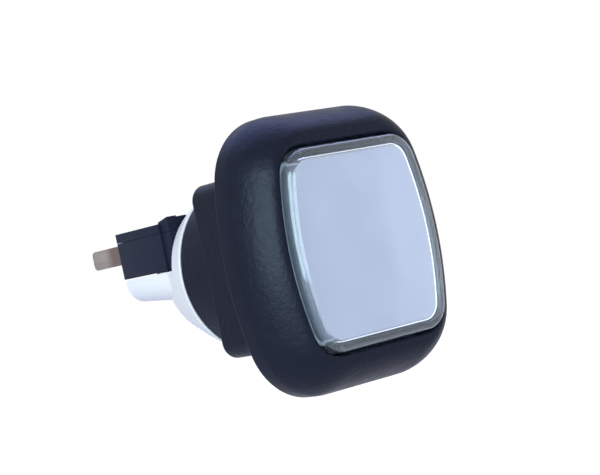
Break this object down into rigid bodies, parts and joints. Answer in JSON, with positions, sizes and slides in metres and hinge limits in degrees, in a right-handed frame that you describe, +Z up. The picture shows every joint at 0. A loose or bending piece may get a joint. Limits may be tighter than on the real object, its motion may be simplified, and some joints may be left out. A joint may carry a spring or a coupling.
{
  "type": "illuminated push button",
  "caption": "Square pillow-bezel push button with a clear lens over a white legend, a sprung plunger, a wedge lamp and a snap-action switch in a white rear holder.",
  "frame": {"origin": "on the button's axis, in the plane where the bezel's rear face meets the panel", "axes": "-Y out of the lens towards the user, +Y back through the panel to the terminals, +Z up, +X to the right seen from the front"},
  "size_m": [0.0348, 0.0508, 0.0376],
  "materials": {
    "black_plastic": "satin, fine grain",
    "clear_lens": "clear gloss",
    "legend_white": "matt",
    "diffuser_white": "satin",
    "plunger_white": "satin",
    "holder_white": "satin",
    "spring_steel": "plain",
    "switch_black": "matt",
    "button_red": "satin",
    "tin": "tinned, satin",
    "lamp_plastic": "satin",
    "lamp_clear": "clear gloss"
  },
  "bodies": {
    "frame": {"bezel_housing": "black_plastic", "rear_holder": "holder_white", "lamp_base": "lamp_plastic", "lamp_dome": "lamp_clear", "lamp_lead_left": "tin", "lamp_lead_right": "tin", "lamp_contact_left": "tin", "lamp_contact_right": "tin", "switch_base": "switch_black", "switch_cover": "switch_black", "terminal_common": "tin", "terminal_open": "tin", "terminal_closed": "tin", "return_spring": "spring_steel"},
    "plunger": {"plunger": "plunger_white", "lens_cap": "clear_lens", "legend_sheet": "legend_white", "diffuser_plate": "diffuser_white"},
    "lever": {"switch_lever": "spring_steel"},
    "button": {"switch_button": "button_red"},
    "blade": {"snap_blade": "tin"}
  },
  "joints": [
    {"name": "press", "type": "slide", "parent": "frame", "child": "plunger", "axis": [0, 1, 0], "range_m": [0, 0.0025], "stiffness_N_per_m": 400, "springref_m": -0.0025, "deforming": ["return_spring"]},
    {"name": "lever_swing", "type": "hinge", "parent": "frame", "child": "lever", "pos_m": [-0.0066, 0.02065, 0.00502], "axis": [0, 0, 1], "range_deg": [0, 12.49]},
    {"name": "button_slide", "type": "slide", "parent": "frame", "child": "button", "axis": [0, 1, 0], "range_m": [0, 0.0008]},
    {"name": "blade_swing", "type": "hinge", "parent": "frame", "child": "blade", "pos_m": [-0.00745, 0.0244, 0.00502], "axis": [0, 0, 1], "range_deg": [0, 2.12]}
  ],
  "couplings": [
    {"joint": "lever_swing", "follows": "press", "rad_per_m": 87.093},
    {"joint": "button_slide", "follows": "press", "ratio": 0.32},
    {"joint": "blade_swing", "follows": "press", "rad_per_m": 14.652}
  ]
}
